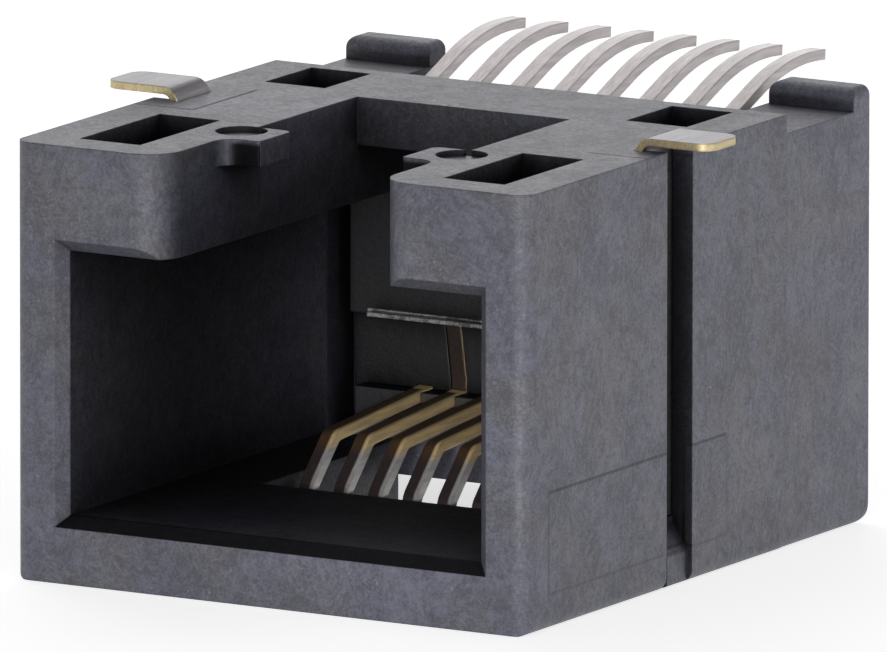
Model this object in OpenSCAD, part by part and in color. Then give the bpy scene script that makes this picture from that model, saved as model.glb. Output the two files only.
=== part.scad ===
// Eight-way modular board jack, surface-mount, latch side towards the board.
// It stands on its flat floor with the board side up. X runs across the port,
// Y runs from the mating face into the jack, Z runs up. Millimetres. Every shape
// is drawn with the mating face at Y = 0, and placed() centres the whole on Y.

/* [Housing] */
// Width across the side walls
body_w = 15.1; // [14.9:0.1:17]
// Height from the flat floor to the board side
body_h = 11.3; // [11.1:0.1:13]
// Depth of the housing, from the mating face to its seam with the carrier
housing_d = 13.1; // [12.9:0.1:14]
// Thickness of the floor under the plug
floor_t = 1.75; // [1.5:0.05:2]
// Thickness of the roof behind the latch slot
roof_t = 1.25; // [0.9:0.05:1.4]
// Radius of the two upright edges of the mating face
front_edge_r = 0.5; // [0.2:0.05:0.8]
// Radius of the long edges of the floor
floor_edge_r = 0.35; // [0.15:0.05:0.6]

/* [Plug port] */
// Width of the plug port
port_w = 12.05; // [11.8:0.05:12.15]
// Height of the plug port
port_h = 6.82; // [6.7:0.02:7]
// Size of the lead-in bevel round the port
lead_in = 0.3; // [0.1:0.05:0.4]
// Clearance beside the outer contacts in the window of the floor
window_gap = 0.12; // [0.08:0.02:0.6]
// Distance of that window from the mating face
window_y = 6.25; // [5.5:0.05:6.8]

/* [Latch slot] */
// Width of the slot that takes the plug's latch
slot_w = 6.26; // [6:0.05:6.6]
// Depth of the slot, from the mating face
slot_d = 9.7; // [8.5:0.1:10]
// Plan radius of the slot's mouth
slot_mouth_r = 0.95; // [0.3:0.05:1.2]
// Distance from the mating face to the latch keepers
keeper_y = 3.07; // [2.5:0.01:3.3]
// Length of a keeper along the slot
keeper_l = 1.65; // [1.4:0.05:2.2]
// How far a keeper reaches into the slot
keeper_reach = 1.04; // [0.7:0.02:1.2]
// Thickness of a keeper
keeper_t = 0.68; // [0.5:0.02:1]
// Diameter of the ejector-pin mark on a keeper
ejector_d = 1.34; // [1:0.02:1.5]
// Depth of the ejector-pin mark
ejector_depth = 0.15; // [0.1:0.05:0.5]

/* [Cored pockets] */
// Width of a pocket in the board side
pocket_w = 1.78; // [1.2:0.02:1.9]
// Distance from the middle of the jack to the middle of a pocket
pocket_x = 5.33; // [5.3:0.01:5.45]
// Depth of a pocket
pocket_depth = 1.9; // [1:0.1:2.2]
// Start and length of the front pockets
front_pocket_y = 1.1; // [0.9:0.1:1.5]
front_pocket_l = 3.97; // [3:0.1:4.5]
// Wall behind the rear pockets, and their length
rear_pocket_wall = 0.45; // [0.4:0.05:0.8]
rear_pocket_l = 2.35; // [1.6:0.05:2.5]

/* [Side grooves] */
// Distance from the mating face to a side groove
groove_y = 7.0; // [6.5:0.1:7.5]
// Width of a side groove
groove_w = 1.3; // [0.9:0.05:1.4]
// Depth of a side groove
groove_depth = 0.6; // [0.4:0.05:0.65]
// Depth of a side groove below its ramp
groove_recess = 0.15; // [0.1:0.05:0.25]
// Height at which that ramp starts, and how far it climbs
groove_stop = 0.8; // [0.6:0.1:1.2]
groove_ramp = 0.7; // [0.4:0.1:1]
// Width of the slit that runs on down the front of a groove
slit_w = 0.28; // [0.2:0.02:0.4]

/* [Solder tabs] */
// Width of the tab strip
tab_w = 1.62; // [1.4:0.05:1.8]
// Thickness of the tab strip
tab_t = 0.2; // [0.15:0.01:0.25]
// Reach of a tab past the side wall
tab_reach = 1.35; // [0.9:0.05:2]
// Inner bend radius of a tab
tab_bend_r = 0.25; // [0.1:0.05:0.25]
// Corner radius of a tab's end
tab_corner_r = 0.42; // [0.1:0.02:0.6]
// Height of the tab and lead faces above the board side
board_gap = 0.35; // [0.35:0.05:0.5]

/* [Contacts] */
// Number of contacts
contact_n = 8; // [2:2:8]
// Pitch of the contacts in the port
contact_pitch = 1.02; // [1:0.01:1.04]
// Pitch of the leads at the board
lead_pitch = 1.27; // [1.25:0.01:1.27]
// Width of the contact strip
wire_w = 0.42; // [0.35:0.01:0.46]
// Thickness of the contact strip
wire_t = 0.27; // [0.2:0.01:0.3]
// Distance from the mating face to the upright tips of the contacts
tip_y = 8.0; // [7.5:0.05:8.2]
// Height of the lower end of a tip
tip_z = 0.7; // [0.5:0.05:0.9]
// Height of the bend where a tip turns into its ramp
ramp_z = 1.4; // [1.2:0.05:1.5]
// Height of the spring leg's front end
leg_z = 2.56; // [2.4:0.05:2.8]
// Slope of the steep ramp and of the spring leg, in degrees
ramp_angle = 45; // [38:1:52]
leg_angle = 4.1; // [2:0.1:5]
// Radius of the contact's bends
bend_r = 0.4; // [0.3:0.05:0.5]
// Slope at which a lead rises, and at which its tip droops, in degrees
lead_rise = 21.5; // [18:0.5:24]
lead_droop = 4.5; // [3:0.5:8]
// Radius of a lead's long curve
lead_r = 6.5; // [5:0.5:8]
// Reach of a lead's tip behind the carrier
lead_reach = 2.77; // [2.5:0.05:3.5]

/* [Contact carrier] */
// Depth of the carrier behind the seam
carrier_d = 4.3; // [4.1:0.1:5]
// Step down from the board side to the carrier's top
carrier_step = 0.5; // [0.3:0.05:0.7]
// How much narrower than the housing the carrier is, on each side
carrier_inset = 0.03; // [0:0.01:0.1]
// Width and thickness of the two stops at the rear corners
stop_w = 2.5; // [1.8:0.1:2.6]
stop_t = 0.8; // [0.6:0.05:0.9]
// Radius of a stop's front top edge, and of its two top corners
stop_edge_r = 0.35; // [0.1:0.05:0.45]
stop_corner_r = 0.25; // [0.1:0.05:0.35]
// How far the stops stand above the board side
stop_rise = 0.08; // [0:0.02:0.2]
// Height of the carrier's underside above the floor
carrier_lift = 0.8; // [0.6:0.05:0.95]
// Radius of the carrier's lower rear edge
carrier_edge_r = 0.55; // [0.2:0.05:0.7]
// Clearance round what slides into or through another piece
fit = 0.03; // [0.02:0.01:0.05]

/* [Hidden] */
LEADS = [for (i = [1:contact_n]) str("contact_", i)];
$fn = 48;

eps = 0.01;
plastic = [0.20, 0.20, 0.22];
plastic_rear = [0.24, 0.24, 0.26];
gold = [0.80, 0.66, 0.36];
tin = [0.82, 0.80, 0.78];

// Housing
half_w = body_w / 2;
port_half = port_w / 2;
slot_half = slot_w / 2;
port_top = floor_t + port_h;
board_z = body_h + board_gap;

// Solder tabs: the strip stands behind the groove, inside the side wall
tab_y = groove_y + groove_w / 2 - tab_w / 2 - 0.05;
tab_outer_x = half_w - groove_depth - fit;
tab_foot_z = groove_stop + groove_ramp + 0.2;

// Contacts: odd and even ones rise in two rows
front_row_y = housing_d + 0.9;
rear_row_y = housing_d + 2.1;
leg_y = tip_y + (leg_z - ramp_z) / tan(ramp_angle);
lead_bay_z = body_h - 2.1;
fan_low_z = leg_z + 0.75;
fan_high_z = lead_bay_z - 0.5;
window_half_w = (contact_n - 1) / 2 * contact_pitch + wire_w / 2 + window_gap;
rear_y = housing_d + carrier_d;
lead_tip_y = rear_y + lead_reach;
lead_end = 0.35;
lead_crest = [lead_tip_y - (lead_r + wire_t / 2) * sin(lead_droop) - lead_end * cos(lead_droop),
              board_z - wire_t / 2];
lead_centre = lead_crest - [0, lead_r];

// Carrier front: a comb flush with the legs' tops, a wall flush with the front
// uprights, a thin ledge over it and a lintel above the ledge
carrier_top = body_h - carrier_step;
comb_y = housing_d + 0.15;
comb_z = leg_z + (comb_y - leg_y) * tan(leg_angle) + wire_t / 2;
comb_half_w = port_half - 0.75;
wall_y = front_row_y - wire_t / 2;
wall_half_w = port_half - 0.4;
ledge_z = comb_z + 1.85;
ledge_t = 0.1;
ledge_half_w = port_half - 1.1;
lintel_y = wall_y - 0.27;
chamber_y = wall_y + 0.6;
lead_bay_half_w = half_w - stop_w - 0.05;

function contact_x(i, pitch) = (i - (contact_n + 1) / 2) * pitch;
function row_y(i) = i % 2 == 0 ? front_row_y : rear_row_y;

// Moves the whole so that its footprint is centred
module placed() translate([0, -lead_tip_y / 2, 0]) children();

// ---- strips bent in a plane ----

function unit(v) = v / norm(v);
function turn(v) = [-v[1], v[0]];

// Arc that rounds the corner b between a and c
function corner_arc(a, b, c, r, n = 6) =
    let (u = unit(a - b), v = unit(c - b), half = acos(u * v) / 2,
         centre = b + unit(u + v) * r / sin(half),
         p = b + u * r / tan(half), q = b + v * r / tan(half),
         a0 = atan2(p[1] - centre[1], p[0] - centre[0]),
         a1 = atan2(q[1] - centre[1], q[0] - centre[0]),
         sweep = a1 - a0 > 180 ? a1 - a0 - 360 : a1 - a0 < -180 ? a1 - a0 + 360 : a1 - a0)
    [for (k = [0:n]) centre + r * [cos(a0 + sweep * k / n), sin(a0 + sweep * k / n)]];

function arc(centre, r, a0, a1, n) =
    [for (k = [0:n]) centre + r * [cos(a0 + (a1 - a0) * k / n), sin(a0 + (a1 - a0) * k / n)]];

// Direction of a path at point k
function heading(path, k) =
    unit(path[min(k + 1, len(path) - 1)] - path[max(k - 1, 0)]);

// Outline of a strip of thickness t along a path
module strip(path, t) {
    left = [for (k = [0:len(path) - 1]) path[k] + turn(heading(path, k)) * t / 2];
    right = [for (k = [len(path) - 1:-1:0]) path[k] - turn(heading(path, k)) * t / 2];
    polygon(concat(left, right));
}

// Stands a YZ outline up at x, w wide
module across(x, w)
    translate([x - w / 2, 0, 0]) rotate([90, 0, 90]) linear_extrude(w) children();

// ---- contacts ----

// Tip, ramp and spring leg, then the turn upwards inside the carrier
function leg_path(y) =
    let (foot = [tip_y, ramp_z], front = [leg_y, leg_z],
         heel = [y, leg_z + (y - leg_y) * tan(leg_angle)], top = [y, fan_low_z + 0.1])
    concat([[tip_y, tip_z]],
           corner_arc([tip_y, tip_z], foot, front, bend_r),
           corner_arc(foot, front, heel, bend_r),
           corner_arc(front, heel, top, wire_t * 0.75, 4), [top]);

// Upright, turn backwards and long curve of the lead
function lead_path(y) =
    let (rise = lead_centre + lead_r * [-sin(lead_rise), cos(lead_rise)],
         elbow = [y, rise[1] - (rise[0] - y) * tan(lead_rise)],
         crown = arc(lead_centre, lead_r, 90 + lead_rise, 90 - lead_droop, 14),
         end = crown[14] + lead_end * [cos(lead_droop), -sin(lead_droop)])
    concat([[y, fan_high_z - 0.1]],
           corner_arc([y, fan_high_z], elbow, rise, bend_r + 0.2), crown, [end]);

// The upright between leg and lead, which fans out from one pitch to the other
module fan(i, grow) {
    low = contact_x(i, contact_pitch);
    high = contact_x(i, lead_pitch);
    half = wire_w / 2 + grow;
    translate([0, row_y(i) + wire_t / 2 + grow, 0]) rotate([90, 0, 0])
        linear_extrude(wire_t + 2 * grow)
            polygon([[low - half, fan_low_z], [low + half, fan_low_z],
                     [high + half, fan_high_z], [high - half, fan_high_z]]);
}

// One whole contact; grow thickens it all round for its channel
module contact_body(i, grow = 0) {
    across(contact_x(i, contact_pitch), wire_w + 2 * grow)
        strip(leg_path(row_y(i)), wire_t + 2 * grow);
    fan(i, grow);
    across(contact_x(i, lead_pitch), wire_w + 2 * grow)
        strip(lead_path(row_y(i)), wire_t + 2 * grow);
}

module contact(i) color(gold) placed() contact_body(i);

// ---- solder tabs ----

// Right-hand tab: upright strip, bend and flat pad with rounded corners
module tab_body(grow = 0) {
    t = tab_t + 2 * grow;
    x_in = tab_outer_x - tab_t - grow;
    pad_z = board_z - tab_t;
    bend_x = tab_outer_x + tab_bend_r;
    pad_end = half_w + tab_reach;
    translate([x_in, tab_y - grow, tab_foot_z - grow])
        cube([t, tab_w + 2 * grow, pad_z - tab_bend_r - tab_foot_z + grow]);
    translate([bend_x, tab_y - grow + tab_w + 2 * grow, pad_z - tab_bend_r])
        rotate([90, 0, 0])
            linear_extrude(tab_w + 2 * grow)
                intersection() {
                    difference() {
                        circle(tab_bend_r + tab_t + grow);
                        circle(tab_bend_r - grow);
                    }
                    translate([-2, 0]) square(2);
                }
    translate([bend_x, tab_y, pad_z]) linear_extrude(tab_t)
        tab_pad_outline(pad_end - bend_x);
}

// Outline of the pad, square at the bend and rounded at its free corners
module tab_pad_outline(l) {
    square([l - tab_corner_r, tab_w]);
    translate([0, tab_corner_r]) square([l, tab_w - 2 * tab_corner_r]);
    for (y = [tab_corner_r, tab_w - tab_corner_r])
        translate([l - tab_corner_r, y]) circle(tab_corner_r);
}

module solder_tab_right() color(tin) placed() tab_body();
module solder_tab_left() color(tin) placed() mirror([1, 0, 0]) tab_body();

// ---- housing ----

// Plan outline with rounded front corners
module plan_outline() {
    translate([-half_w, front_edge_r]) square([body_w, housing_d - front_edge_r]);
    translate([-half_w + front_edge_r, 0])
        square([body_w - 2 * front_edge_r, housing_d]);
    for (s = [-1, 1])
        translate([s * (half_w - front_edge_r), front_edge_r]) circle(front_edge_r);
}

// Front outline with rounded lower corners, drawn in X and Z
module front_outline(w) {
    translate([-w / 2, floor_edge_r]) square([w, body_h - floor_edge_r]);
    translate([-w / 2 + floor_edge_r, 0]) square([w - 2 * floor_edge_r, body_h]);
    for (s = [-1, 1])
        translate([s * (w / 2 - floor_edge_r), floor_edge_r]) circle(floor_edge_r);
}

module block() intersection() {
    linear_extrude(body_h) plan_outline();
    translate([0, housing_d, 0]) rotate([90, 0, 0])
        linear_extrude(housing_d) front_outline(body_w);
}

// Space of the plug, with the bevel at its mouth
module port() {
    wide = port_half + lead_in + eps;
    translate([-port_half, -eps, floor_t]) cube([port_w, housing_d + 1, port_h]);
    intersection() {
        linear_extrude(body_h)
            polygon([[-wide, -eps], [wide, -eps], [port_half, lead_in], [-port_half, lead_in]]);
        across(0, 2 * wide)
            polygon([[-eps, floor_t - lead_in - eps], [lead_in, floor_t], [lead_in, port_top],
                     [-eps, port_top + lead_in + eps]]);
    }
}

// Latch slot, open to the board side, with a rounded mouth
module latch_slot() {
    tall = body_h - port_top + lead_in + 1;
    translate([-slot_half, -eps, port_top - lead_in]) cube([slot_w, slot_d + eps, tall]);
    translate([-slot_half, slot_d - eps, port_top - eps])
        cube([slot_w, housing_d - slot_d + 1, body_h - roof_t - port_top + eps]);
    for (s = [-1, 1])
        translate([s * slot_half, 0, port_top - lead_in]) linear_extrude(tall)
            difference() {
                translate([s > 0 ? -eps : -slot_mouth_r, -1])
                    square([slot_mouth_r + eps, slot_mouth_r + 1]);
                translate([s * slot_mouth_r, slot_mouth_r]) circle(slot_mouth_r);
                translate([s > 0 ? slot_mouth_r : -2 * slot_mouth_r, 0])
                    square([slot_mouth_r, slot_mouth_r]);
            }
}

// Keeper on the right side of the slot, with a fillet where it starts
module keeper() {
    near_r = 0.08;
    far_r = 0.25;
    fillet_r = 0.5;
    difference() {
        translate([slot_half, keeper_y, body_h - keeper_t]) linear_extrude(keeper_t) {
            translate([-keeper_reach + far_r, 0]) square([keeper_reach - far_r + eps, keeper_l]);
            translate([-keeper_reach, near_r]) square([far_r + eps, keeper_l - near_r - far_r]);
            translate([-keeper_reach + near_r, 0]) square([far_r - near_r + eps, near_r + eps]);
            translate([-keeper_reach + near_r, near_r]) circle(near_r);
            translate([-keeper_reach + far_r, keeper_l - far_r]) circle(far_r);
            difference() {
                translate([-fillet_r, -fillet_r]) square([fillet_r + eps, fillet_r + eps]);
                translate([-fillet_r, -fillet_r]) circle(fillet_r);
            }
        }
        ejector_mark();
    }
}

module ejector_mark()
    translate([slot_half + 0.1, keeper_y + keeper_l * 0.62, body_h - ejector_depth])
        cylinder(d = ejector_d, h = ejector_depth + 1);

// Cored pockets on the right side
module pockets()
    for (p = [[front_pocket_y, front_pocket_l],
              [housing_d - rear_pocket_wall - rear_pocket_l, rear_pocket_l]])
        translate([pocket_x - pocket_w / 2, p[0], body_h - pocket_depth])
            cube([pocket_w, p[1], pocket_depth + 1]);

// Groove in the right side wall with its ramp and slit, and the channel of the tab
module side_groove() {
    translate([half_w, groove_y + groove_w, 0]) rotate([90, 0, 0]) linear_extrude(groove_w)
        polygon([[1, -1], [1, body_h + 1], [-groove_depth, body_h + 1],
                 [-groove_depth, groove_stop + groove_ramp], [-groove_recess, groove_stop],
                 [-groove_recess, -1]]);
    translate([half_w - groove_depth, groove_y, -1])
        cube([groove_depth + 1, slit_w, body_h]);
    translate([tab_outer_x - tab_t - fit, tab_y - fit, tab_foot_z - fit])
        cube([tab_t + 2 * fit, tab_w + 2 * fit, body_h]);
}

module floor_window()
    translate([-window_half_w, window_y, -1])
        cube([2 * window_half_w, housing_d, floor_t + 2]);

module housing() color(plastic) placed() difference() {
    union() {
        difference() {
            block();
            port();
            latch_slot();
        }
        keeper();
        mirror([1, 0, 0]) keeper();
    }
    for (m = [0, 1]) mirror([m, 0, 0]) {
        ejector_mark();
        pockets();
        side_groove();
    }
    floor_window();
}

// ---- contact carrier ----

// Block of the carrier's middle, half_x to each side, from y0 to y1 and z0 to z1
module middle(half_x, y0, y1, z0, z1) translate([-half_x, y0, z0]) cube([2 * half_x, y1 - y0, z1 - z0]);

module core() {
    middle(port_half + eps, chamber_y, rear_y, carrier_lift, carrier_top);
    middle(port_half + eps, housing_d, rear_y, body_h - roof_t, carrier_top);
    middle(wall_half_w, wall_y, chamber_y + eps, carrier_lift, ledge_z);
    middle(wall_half_w, lintel_y, chamber_y + eps, ledge_z, carrier_top);
    middle(comb_half_w, comb_y, chamber_y + eps, carrier_lift, comb_z);
    middle(ledge_half_w, comb_y, chamber_y, ledge_z, ledge_z + ledge_t);
}

// Profile of a side wing, with its lower rear edge rounded
module wing_profile() {
    translate([housing_d, 0]) square([carrier_d - carrier_edge_r, carrier_top]);
    translate([housing_d, carrier_edge_r]) square([carrier_d, carrier_top - carrier_edge_r]);
    translate([rear_y - carrier_edge_r, carrier_edge_r]) circle(carrier_edge_r);
}

module wing() {
    outer = half_w - carrier_inset;
    intersection() {
        across((outer + port_half) / 2, outer - port_half) wing_profile();
        translate([0, rear_y, 0]) rotate([90, 0, 0])
            linear_extrude(carrier_d) front_outline(2 * outer);
    }
}

// Outline of a stop, l long and h high, with both top corners rounded
module stop_outline(l, h, r) {
    square([l, h - r]);
    translate([r, 0]) square([l - 2 * r, h]);
    for (x = [r, l - r]) translate([x, h - r]) circle(r);
}

// Stop at a rear corner, rounded at its top corners and along its front top edge
module rear_stop() {
    h = carrier_step + stop_rise + eps;
    outer = half_w - carrier_inset;
    translate([outer - stop_w, rear_y - stop_t, carrier_top - eps]) intersection() {
        translate([0, stop_t, 0]) rotate([90, 0, 0])
            linear_extrude(stop_t) stop_outline(stop_w, h, stop_corner_r);
        rotate([90, 0, 90]) linear_extrude(stop_w) stop_outline(2 * stop_t, h, stop_edge_r);
    }
}

// Open bay behind the front wall, where the leads turn backwards
module lead_bay()
    translate([-lead_bay_half_w, front_row_y, lead_bay_z])
        cube([2 * lead_bay_half_w, carrier_d + 1, body_h]);

module contact_carrier() color(plastic_rear) placed() difference() {
    union() {
        core();
        for (m = [0, 1]) mirror([m, 0, 0]) {
            wing();
            rear_stop();
        }
    }
    lead_bay();
    for (i = [1:contact_n]) contact_body(i, fit);
}

housing();
contact_carrier();
solder_tab_left();
solder_tab_right();
for (i = [1:contact_n])
    contact(i);
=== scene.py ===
"""Looks, light and camera for the modular board jack. Metres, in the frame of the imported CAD."""
from math import cos, radians, sin

import bpy
from mathutils import Matrix, Vector


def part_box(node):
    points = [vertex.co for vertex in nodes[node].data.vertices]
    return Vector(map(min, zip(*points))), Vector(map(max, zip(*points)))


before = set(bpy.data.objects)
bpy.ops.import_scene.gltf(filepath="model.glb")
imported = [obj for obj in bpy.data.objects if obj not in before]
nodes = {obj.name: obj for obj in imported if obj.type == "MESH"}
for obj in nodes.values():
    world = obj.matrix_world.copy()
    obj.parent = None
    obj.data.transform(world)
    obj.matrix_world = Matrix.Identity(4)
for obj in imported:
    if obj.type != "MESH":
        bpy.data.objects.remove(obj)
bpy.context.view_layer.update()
scene = bpy.context.scene
scene.view_settings.view_transform = "Standard"

MM = 0.001
face_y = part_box("housing")[0].y          # mating face
seam_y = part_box("contact_carrier")[0].y  # seam between housing and carrier
LEG_PITCH = 1.02 * MM                    # from one spring leg to the next

# Places on the part, in mm: |X|, Y from the mating face, Z; None leaves a side open
FLANK_PANEL = (7.3, None), (1.05, 10.05), (0.95, 3.55)
CHEEK_PANEL = (5.8, None), (6.0, 9.25), (11.0, None)
# The keepers' front faces and the port sill take painted shade
KEEPER_FRONT = (None, 3.15), (3.0, 3.2), (10.4, 11.2)
PORT_SILL = (None, 6.3), (-0.1, 0.36), (1.35, 1.9)
# The chamber wall takes painted shade, the ledge painted light
CHAMBER_WALL = (None, 5.75), (13.05, 14.6), (2.2, 9.0)
LEDGE = (None, 5.1), (13.05, 14.2), (4.80, 4.97)

# Linear colours of the metals
GOLD = (1.0, 0.76, 0.40, 1)
TIN = (0.60, 0.555, 0.55, 1)
# Painted highlight on the ramps, then painted shade on the legs' flats, the ramps' flats and the
# feet
RAMP_HIGHLIGHT = (0.60, 0.58, 0.57, 1)
LEG_FLAT_SHADE = (0.13, 0.075, 0.04, 1)
RAMP_FLAT_SHADE = (0.07, 0.05, 0.05, 1)
LEG_FOOT_SHADE = (0.03, 0.022, 0.02, 1)
# Painted shade on the uprights' front faces
UPRIGHT_SHADE = (0.06, 0.043, 0.037, 1)
TAB_TIN = (0.31, 0.30, 0.315, 1)
TAB_CUT = (0.62, 0.52, 0.31, 1)


# ---------------------------------------------------------------- node helpers
def new_material(name):
    mat = bpy.data.materials.new(name)
    mat.use_nodes = True
    mat.node_tree.nodes.clear()
    return mat, mat.node_tree


def put(tree, value, socket):
    """Links a (node, output) pair to a socket, or sets a plain value on it."""
    if isinstance(value, tuple) and hasattr(value[0], "outputs"):
        tree.links.new(value[0].outputs[value[1]], socket)
    else:
        socket.default_value = value


def add(tree, kind, inputs=None, **values):
    """A node with its properties and inputs set; inputs maps a socket to a value or pair."""
    node = tree.nodes.new(kind)
    for key, value in values.items():
        setattr(node, key, value)
    for key, value in (inputs or {}).items():
        put(tree, value, node.inputs[key])
    return node


def math(tree, operation, a, b=0.0, c=None):
    inputs = {0: a, 1: b}
    if c is not None:
        inputs[2] = c
    return (add(tree, "ShaderNodeMath", inputs, operation=operation), 0)


def size_of(tree, value):
    return math(tree, "ABSOLUTE", value)


def between(tree, value, low, high):
    """0 at low and less, 1 at high and more, straight between; low may be the larger."""
    node = add(tree, "ShaderNodeMapRange", {"Value": value, "From Min": low, "From Max": high},
               clamp=True)
    return (node, 0)


def mix(tree, factor, a, b, kind="MIX"):
    return (add(tree, "ShaderNodeMix", {0: factor, 6: a, 7: b}, data_type="RGBA",
                blend_type=kind), 2)


def times(tree, a, b):
    """Product of two colours."""
    return mix(tree, 1.0, a, b, "MULTIPLY")


def pick(tree, chosen, other, value):
    """A number: value where chosen is 1, other where it is 0."""
    return (add(tree, "ShaderNodeMix", {0: chosen, 2: other, 3: value}), 0)


def grey(value, tint=(1, 1, 1)):
    return (value * tint[0], value * tint[1], value * tint[2], 1)


def surface(tree, shader):
    add(tree, "ShaderNodeOutputMaterial", {"Surface": shader})


class Space:
    """Object coordinates of a material, their single axes and noises over them."""

    def __init__(self, tree, seed):
        self.tree = tree
        coord = add(tree, "ShaderNodeTexCoord")
        self.at = (coord, "Object")
        self.normal = (coord, "Normal")
        axes = add(tree, "ShaderNodeSeparateXYZ", {0: self.at})
        self.x, self.y, self.z = ((axes, axis) for axis in "XYZ")
        self.seed = seed

    def facing(self, axis):
        """The part of the surface normal along one axis."""
        return (add(self.tree, "ShaderNodeSeparateXYZ", {0: self.normal}), axis)

    def warped(self, scale, amount):
        """The coordinates pushed about by a slow noise, so that grain flows in swirls."""
        push = add(self.tree, "ShaderNodeTexNoise",
                   {"Vector": self.at, "Scale": scale, "Detail": 1.0})
        middle = add(self.tree, "ShaderNodeVectorMath",
                     {0: (push, "Color"), 1: (0.5, 0.5, 0.5)}, operation="SUBTRACT")
        step = add(self.tree, "ShaderNodeVectorMath",
                   {0: (middle, 0), 1: (amount,) * 3}, operation="MULTIPLY")
        return (add(self.tree, "ShaderNodeVectorMath", {0: self.at, 1: (step, 0)},
                    operation="ADD"), 0)

    def noise(self, scale, detail, rough, stretch=(1, 1, 1), turn=(0, 0, 0), at=None):
        place = add(self.tree, "ShaderNodeMapping",
                    {"Vector": at or self.at, "Rotation": turn, "Scale": stretch,
                     "Location": (self.seed, self.seed * 0.7, -self.seed)})
        node = add(self.tree, "ShaderNodeTexNoise",
                   {"Vector": (place, 0), "Scale": scale, "Detail": detail, "Roughness": rough})
        return (node, "Fac")

    def inside(self, box, soft):
        """1 inside a box of places in mm, 0 outside, with a rim that is soft over so many mm."""
        tree = self.tree
        values = size_of(tree, self.x), math(tree, "SUBTRACT", self.y, face_y), self.z
        mask = None
        for value, limits in zip(values, box):
            for limit, sign in zip(limits, (1, -1)):
                if limit is None:
                    continue
                rim = sign * soft
                part = between(tree, value, (limit - rim) * MM, (limit + rim) * MM)
                mask = part if mask is None else math(tree, "MULTIPLY", mask, part)
        return mask


# ---------------------------------------------------------------- plastic
def witness_marks(at):
    """Raised panels left by the mould's inserts, as heights."""
    return math(at.tree, "ADD", at.inside(FLANK_PANEL, 0.045), at.inside(CHEEK_PANEL, 0.045))


def deep_shade(at):
    """Factor for painted shade: 1 on most faces, less on those turned away from the light inside
    the port, the keepers' fronts and the sill.
    """
    tree = at.tree
    to_front = math(tree, "LESS_THAN", at.facing("Y"), -0.5)
    keeper = math(tree, "MULTIPLY", at.inside(KEEPER_FRONT, 0.05), to_front)
    upward = math(tree, "GREATER_THAN", at.facing("Z"), 0.4)
    sill = math(tree, "MULTIPLY", at.inside(PORT_SILL, 0.05), upward)
    return math(tree, "MULTIPLY_ADD", math(tree, "ADD", keeper, sill), -0.62, 1.0)


def chamber_front(at, colour, tone):
    """Paints shade on the wall behind the legs and paints light onto the thin ledge that crosses
    it.
    """
    tree = at.tree
    colour = mix(tree, at.inside(CHAMBER_WALL, 0.02), colour, times(tree, colour, grey(0.08)))
    ledge_light = mix(tree, between(tree, tone, 0.47, 0.54), grey(0.07), grey(0.30))
    return mix(tree, at.inside(LEDGE, 0.02), colour, ledge_light)


def weighted(tree, parts):
    """Sum of (value, weight) pairs."""
    total = 0.0
    for value, weight in parts:
        total = math(tree, "MULTIPLY_ADD", value, weight, total)
    return total


def moulded_plastic(name, seed, low, high):
    """Glass-filled plastic: cloudy flow marks, swirled fibres, pale specks, sheen; painted shade
    in hollows and the port, painted light on its ledge.
    """
    mat, tree = new_material(name)
    at = Space(tree, seed)
    flow = at.warped(620, 0.0016)
    clouds = at.noise(260, 3, 0.6)
    smudge = at.noise(900, 3, 0.6)
    mottle = at.noise(2300, 3, 0.65)
    grain = at.noise(15000, 2, 0.6)
    strands = at.noise(6200, 2, 0.65, (1, 1, 0.38), (0.45, 0.3, 0), flow)
    across = at.noise(7000, 2, 0.65, (0.35, 1, 1), (0, 0.5, 0.6), flow)
    tone = weighted(tree, ((across, 0.15), (strands, 0.19), (mottle, 0.12),
                           (clouds, 0.12), (smudge, 0.16), (grain, 0.26)))

    # Bluish grey, olive in patches, with pale specks
    shade = between(tree, tone, 0.445, 0.575)
    colour = mix(tree, shade, grey(low, (0.90, 0.92, 1.34)), grey(high, (0.91, 0.93, 1.29)))
    patch = between(tree, at.noise(420, 2, 0.6), 0.46, 0.62)
    colour = mix(tree, patch, colour, times(tree, colour, (1.05, 1.03, 0.88, 1)))
    speck = between(tree, at.noise(9000, 2, 0.5, turn=(0.4, 0.8, 0.2)), 0.68, 0.76)
    colour = mix(tree, math(tree, "MULTIPLY", speck, 0.6), colour, grey(0.25))

    # Painted shade: hollows and the port's shaded faces turn dark and lose their sheen
    hollow = add(tree, "ShaderNodeAmbientOcclusion", {"Distance": 14 * MM}, samples=6,
                 only_local=True)
    open_air = between(tree, math(tree, "MULTIPLY", (hollow, "AO"), deep_shade(at)), 0.20, 0.97)
    open_air = math(tree, "POWER", open_air, 1.7)
    colour = mix(tree, open_air, grey(0.003), colour)
    sheen = math(tree, "MULTIPLY_ADD", open_air, 0.62, 0.03)

    # The panels' edges are hairlines
    marks = witness_marks(at)
    line = math(tree, "MULTIPLY", marks, math(tree, "SUBTRACT", 1.0, marks))
    colour = mix(tree, math(tree, "MULTIPLY", line, 2.2), colour, grey(0.012))
    colour = chamber_front(at, colour, tone)

    rough = math(tree, "MULTIPLY_ADD", between(tree, tone, 0.40, 0.60), -0.12, 0.56)
    height = weighted(tree, ((grain, 0.4), (mottle, 1.0), (marks, 3.0)))
    edge = add(tree, "ShaderNodeBevel", {"Radius": 0.07 * MM}, samples=4)
    bump = add(tree, "ShaderNodeBump", {"Strength": 0.6, "Distance": 0.03 * MM, "Height": height,
                                        "Normal": (edge, 0)})
    shader = add(tree, "ShaderNodeBsdfPrincipled",
                 {"Base Color": colour, "Roughness": rough, "Normal": (bump, 0), "IOR": 1.6,
                  "Specular IOR Level": sheen})
    surface(tree, (shader, 0))
    return mat


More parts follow.
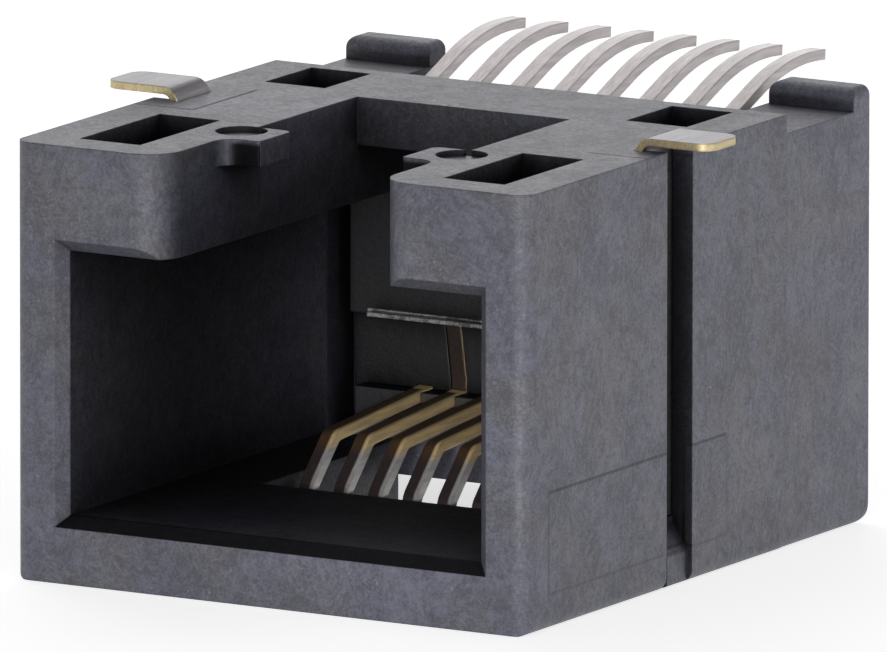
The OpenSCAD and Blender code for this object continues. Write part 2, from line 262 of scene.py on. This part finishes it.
# ---------------------------------------------------------------- metal
def plated(name, seed, colour_of, smooth, dull, metal):
    """Rolled and plated strip with fine streaks along Y; roughness lies from smooth to dull."""
    mat, tree = new_material(name)
    at = Space(tree, seed)
    slow = at.noise(420, 2, 0.5)
    streak = between(tree, at.noise(14000, 2, 0.6, stretch=(1, 0.06, 0.5)), 0.30, 0.70)
    colour = times(tree, colour_of(at), mix(tree, streak, grey(0.70), grey(1.0)))
    edge = add(tree, "ShaderNodeBevel", {"Radius": 0.06 * MM}, samples=4)
    bump = add(tree, "ShaderNodeBump", {"Strength": 0.12, "Distance": 0.01 * MM, "Height": slow,
                                        "Normal": (edge, 0)})
    shader = add(tree, "ShaderNodeBsdfPrincipled",
                 {"Base Color": colour, "Metallic": metal, "Normal": (bump, 0),
                  "Roughness": math(tree, "MULTIPLY_ADD", slow, dull - smooth, smooth)})
    surface(tree, (shader, 0))
    return mat


def leg_colour(at, gold):
    """Painted shade on the flats and feet, the plating's colour on the sides, painted highlights
    on the flats' right-hand rims, silver on the ramps.
    """
    tree = at.tree
    pitches = math(tree, "MULTIPLY_ADD", at.x, 1 / LEG_PITCH, 5.0)
    from_middle = math(tree, "SUBTRACT", math(tree, "FRACT", pitches), 0.5)
    # Painted highlight along each flat's right-hand rim
    rim = between(tree, from_middle, 0.07, 0.12)
    side = math(tree, "GREATER_THAN", size_of(tree, at.facing("X")), 0.5)
    ramp = between(tree, at.z, 2.45 * MM, 2.2 * MM)
    foot = between(tree, at.z, 1.42 * MM, 1.36 * MM)
    bright = mix(tree, ramp, gold, RAMP_HIGHLIGHT)
    dark = mix(tree, ramp, LEG_FLAT_SHADE, RAMP_FLAT_SHADE)
    lit_or_shaded = mix(tree, math(tree, "MAXIMUM", rim, side), dark, bright)
    return mix(tree, foot, lit_or_shaded, LEG_FOOT_SHADE)


def contact_colour(at):
    """Gold legs in the port, painted shade on the uprights' front faces in the chamber, tin plated
    leads behind it.
    """
    tree = at.tree
    lead = between(tree, at.y, seam_y + 1.1 * MM, seam_y + 1.3 * MM)
    plating = mix(tree, lead, GOLD, TIN)
    to_front = math(tree, "LESS_THAN", at.facing("Y"), -0.5)
    in_chamber = math(tree, "LESS_THAN", at.y, seam_y + 2.5 * MM)
    behind = mix(tree, math(tree, "MULTIPLY", to_front, in_chamber), plating, UPRIGHT_SHADE)
    in_port = math(tree, "LESS_THAN", at.y, seam_y + 0.5 * MM)
    return mix(tree, in_port, behind, leg_colour(at, plating))


def tab_colour(at):
    """Tin on the rolled faces, bare strip on the sheared edges."""
    tree = at.tree
    along = math(tree, "GREATER_THAN", size_of(tree, at.facing("Y")), 0.5)
    on_pad = math(tree, "GREATER_THAN", size_of(tree, at.x), 8.2 * MM)
    upright = math(tree, "LESS_THAN", size_of(tree, at.facing("Z")), 0.5)
    cut = math(tree, "MAXIMUM", along, math(tree, "MULTIPLY", on_pad, upright))
    return mix(tree, cut, TAB_TIN, TAB_CUT)


def dress(node, material):
    mesh = nodes[node].data
    if not mesh.materials:
        mesh.materials.append(material)
    for index in range(len(mesh.materials)):
        mesh.materials[index] = material


housing_plastic = moulded_plastic("housing_plastic", 0.0, 0.050, 0.130)
carrier_plastic = moulded_plastic("carrier_plastic", 0.031, 0.060, 0.140)
contact_metal = plated("contact_metal", 0.0, contact_colour, 0.26, 0.40, 0.5)
tab_metal = plated("tab_metal", 0.01, tab_colour, 0.34, 0.50, 1.0)
for name in nodes:
    if name == "housing":
        dress(name, housing_plastic)
    elif name == "contact_carrier":
        dress(name, carrier_plastic)
    else:
        dress(name, contact_metal if name.startswith("contact_") else tab_metal)


# ---------------------------------------------------------------- floor and light
def white_stage():
    """Pale floor that reads white to the eye and still takes the shadow."""
    half = 3.0
    mesh = bpy.data.meshes.new("floor")
    mesh.from_pydata([(-half, -half, 0), (half, -half, 0), (half, half, 0), (-half, half, 0)],
                     [], [(0, 1, 2, 3)])
    floor = bpy.data.objects.new("floor", mesh)
    scene.collection.objects.link(floor)
    mat, tree = new_material("floor_white")
    path = add(tree, "ShaderNodeLightPath")
    seen = math(tree, "MAXIMUM", (path, "Is Camera Ray"), (path, "Is Glossy Ray"))
    seen = math(tree, "MAXIMUM", seen, (path, "Is Transmission Ray"))
    diffuse = add(tree, "ShaderNodeBsdfDiffuse", {"Color": grey(0.8)})
    glow = add(tree, "ShaderNodeEmission", {"Strength": math(tree, "MULTIPLY", seen, 0.66)})
    surface(tree, (add(tree, "ShaderNodeAddShader", {0: (diffuse, 0), 1: (glow, 0)}), 0))
    mesh.materials.append(mat)


def world_light(fill, overhead):
    """White round the horizon, dimmer overhead; the camera sees plain white."""
    world = bpy.data.worlds.new("studio")
    scene.world = world
    world.use_nodes = True
    tree = world.node_tree
    tree.nodes.clear()
    coord = add(tree, "ShaderNodeTexCoord")
    split = add(tree, "ShaderNodeSeparateXYZ", {0: (coord, "Generated")})
    dim = between(tree, (split, "Z"), 0.25, 0.75)
    path = add(tree, "ShaderNodeLightPath")
    sky = math(tree, "MULTIPLY_ADD", dim, overhead - 1.0, 1.0)
    strength = pick(tree, (path, "Is Glossy Ray"), math(tree, "MULTIPLY", sky, fill), sky)
    strength = pick(tree, (path, "Is Camera Ray"), strength, 1.0)
    strength = pick(tree, (path, "Is Transmission Ray"), strength, 1.0)
    back = add(tree, "ShaderNodeBackground", {"Strength": strength})
    add(tree, "ShaderNodeOutputWorld", {"Surface": (back, 0)})


def hang(name, kind, place, aim, power):
    """A lamp of one kind at a place, turned to its aim."""
    lamp = bpy.data.lights.new(name, kind)
    lamp.energy = power
    obj = bpy.data.objects.new(name, lamp)
    scene.collection.objects.link(obj)
    obj.location = place
    obj.rotation_euler = (Vector(aim) - Vector(place)).to_track_quat("-Z", "Y").to_euler()
    return lamp


def panel(name, place, size, power):
    """A soft rectangular lamp aimed at the middle of the jack."""
    lamp = hang(name, "AREA", place, (0, 0, 5 * MM), power)
    lamp.shape = "RECTANGLE"
    lamp.size, lamp.size_y = size


def snoot(name, place, aim, angle, power):
    """A narrow soft-edged lamp that reaches into the port."""
    lamp = hang(name, "SPOT", place, aim, power)
    lamp.spot_size, lamp.spot_blend = angle, 0.7
    lamp.shadow_soft_size = 4 * MM


white_stage()
world_light(0.75, 0.22)
panel("key", (-0.10, 0.10, 0.14), (0.16, 0.16), 0.095)
panel("side", (0.22, -0.05, 0.05), (0.14, 0.08), 0.08)
panel("front", (0.09, -0.21, 0.035), (0.14, 0.06), 0.19)
panel("sheen", (-0.12, 0.22, 0.055), (0.12, 0.05), 0.02)
snoot("port", (0.058, -0.125, 0.022), (-0.0026, 0.0004, 0.0028), radians(2.4), 0.75)


# ---------------------------------------------------------------- camera
AZIMUTH, ELEVATION, ROLL = radians(30.297), radians(10.907), radians(0.046)
SENSOR = 36.0
FOCAL_WIDTHS = 31451 / 887  # focal length in widths of the image
FAR = 800 * MM              # from the aim to the camera
right = Vector((cos(AZIMUTH), sin(AZIMUTH), 0))
up = Vector((-sin(AZIMUTH) * sin(ELEVATION), cos(AZIMUTH) * sin(ELEVATION), cos(ELEVATION)))
back = right.cross(up)
aim = Vector((0, face_y + 8.053 * MM, 5.537 * MM)) + right * 0.335 * MM + up * 0.380 * MM
camera = bpy.data.objects.new("camera", bpy.data.cameras.new("camera"))
scene.collection.objects.link(camera)
turned = Matrix((right, up, back)).transposed().to_4x4() @ Matrix.Rotation(ROLL, 4, "Z")
camera.matrix_world = Matrix.Translation(aim + back * FAR) @ turned
camera.data.sensor_width = SENSOR
camera.data.lens = FOCAL_WIDTHS * SENSOR
camera.data.clip_start, camera.data.clip_end = 0.01, 20.0
scene.camera = camera
